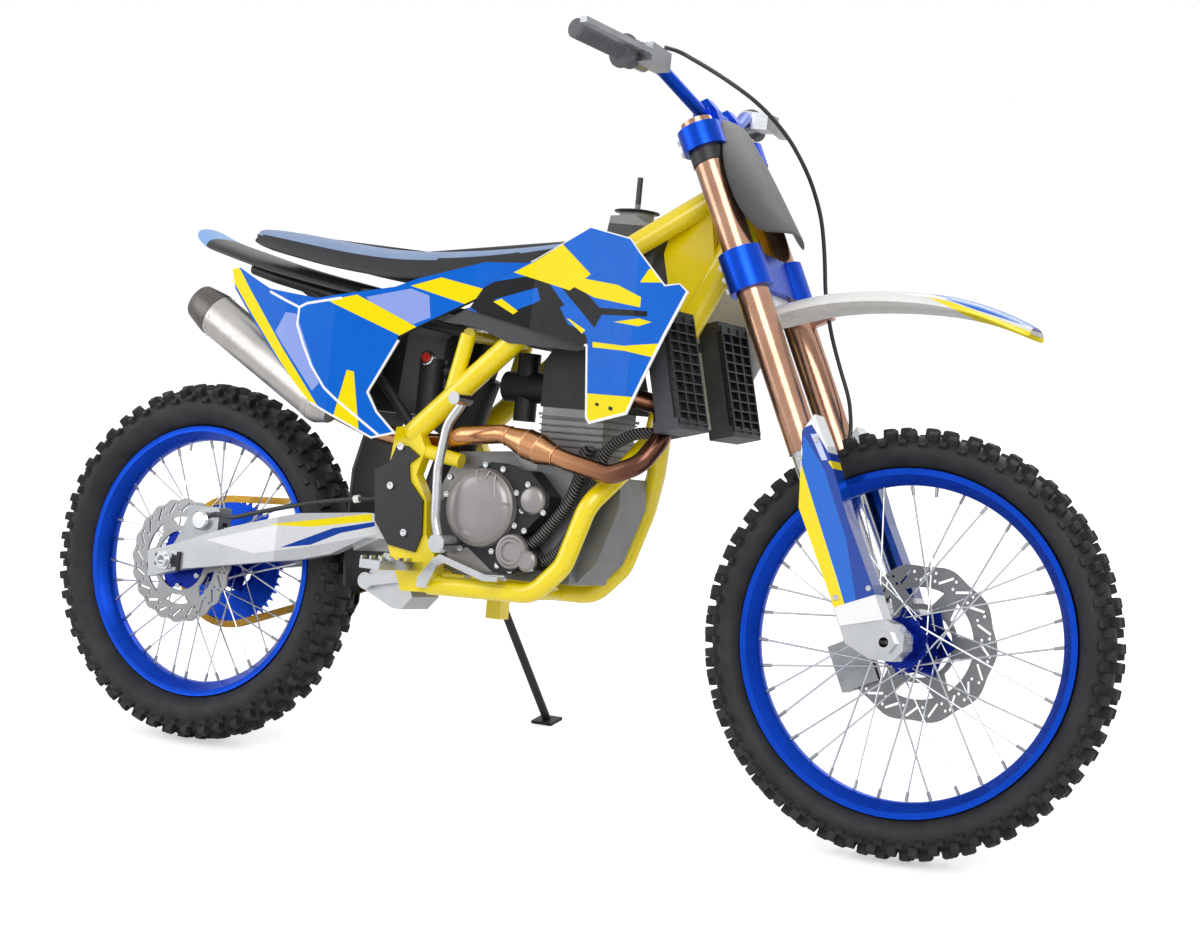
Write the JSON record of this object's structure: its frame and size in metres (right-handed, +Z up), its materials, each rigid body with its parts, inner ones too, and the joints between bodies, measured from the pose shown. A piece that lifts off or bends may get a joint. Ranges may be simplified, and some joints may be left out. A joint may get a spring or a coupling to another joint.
{
  "type": "dirt bike",
  "caption": "Off-road motorcycle with knobbly tyres on wire-spoked wheels, tube cradle frame, open engine, looped exhaust, long flat seat and fork guards, parked on its side stand.",
  "frame": {"origin": "on the ground, at the middle of the bounding box in plan", "axes": "+X towards the front wheel, +Y to the left (the side stand side, which the bike leans to), +Z up from the ground it stands on"},
  "size_m": [2.117, 0.8728, 1.345],
  "materials": {
    "yellow_frame_paint": "gloss",
    "blue_anodised": "satin anodised",
    "bare_aluminium": "satin",
    "grey_cast": "cast",
    "dark_cast": "painted cast",
    "steel": "brushed",
    "chrome_steel": "polished",
    "bronze_fork": "satin anodised",
    "heat_tinted_steel": "heat-tinted",
    "tyre_rubber": "matt",
    "black_rubber": "matt",
    "black_plastic": "satin",
    "white_plastic": "gloss",
    "blue_plastic": "gloss with printed stripes",
    "blue_seat_cover": "grained",
    "gold_chain": "plated"
  },
  "bodies": {
    "chassis": {"airbox": "black_plastic", "carburettor": "dark_cast", "chain": "gold_chain", "chain_guide": "black_plastic", "clutch_cover": "grey_cast", "coolant_hoses": "black_rubber", "cylinder": "bare_aluminium", "cylinder_head": "grey_cast", "engine_case": "dark_cast", "exhaust_header": "heat_tinted_steel", "flywheel_cover": "grey_cast", "foot_levers": "steel", "footpegs": "steel", "frame": "yellow_frame_paint", "frame_guards": "black_plastic", "front_sprocket": "steel", "fuel_tank": "black_plastic", "kick_starter": "chrome_steel", "knee_panels": "black_plastic", "mud_flap": "black_rubber", "radiators": "bare_aluminium", "rear_axle": "steel", "rear_caliper": "dark_cast", "rear_fender": "blue_plastic", "seat": "blue_seat_cover", "shock": "dark_cast", "shock_linkage": "dark_cast", "shrouds": "blue_plastic", "side_panels": "blue_plastic", "silencer": "bare_aluminium", "subframe": "dark_cast", "swingarm": "bare_aluminium", "swingarm_bridge": "bare_aluminium"},
    "steering": {"triple_clamps": "blue_anodised", "fork_outers": "bronze_fork", "fork_sliders": "chrome_steel", "fork_guards": "white_plastic", "front_axle": "steel", "handlebar": "blue_anodised", "grips": "black_rubber", "hand_levers": "dark_cast", "front_fender": "white_plastic", "number_plate": "white_plastic", "front_caliper": "dark_cast", "brake_hose": "black_rubber"},
    "front_wheel": {"front_tyre": "tyre_rubber", "front_rim": "blue_anodised", "front_spokes": "chrome_steel", "front_hub": "blue_anodised", "front_disc": "steel"},
    "rear_wheel": {"rear_tyre": "tyre_rubber", "rear_rim": "blue_anodised", "rear_spokes": "chrome_steel", "rear_hub": "blue_anodised", "rear_disc": "steel", "rear_sprocket": "blue_anodised"},
    "side_stand": {"side_stand": "steel"}
  },
  "joints": [
    {"name": "steering", "type": "hinge", "parent": "chassis", "child": "steering", "pos_m": [0.32413, -0.04823, 1.00507], "axis": [-0.4283, 0.2108, 0.8787], "range_deg": [-47, 38.5]},
    {"name": "front_wheel_spin", "type": "hinge", "parent": "steering", "child": "front_wheel", "pos_m": [0.70821, -0.20319, 0.34179], "axis": [-0.0659, 0.9625, -0.263], "continuous": true},
    {"name": "rear_wheel_spin", "type": "hinge", "parent": "chassis", "child": "rear_wheel", "pos_m": [-0.71866, -0.20943, 0.33513], "axis": [-0.0003, 0.9724, -0.2334], "continuous": true},
    {"name": "side_stand_fold", "type": "hinge", "parent": "chassis", "child": "side_stand", "pos_m": [-0.14373, -0.07855, 0.29259], "axis": [-0.3169, 0.7876, 0.5285], "range_deg": [0, 78]}
  ]
}
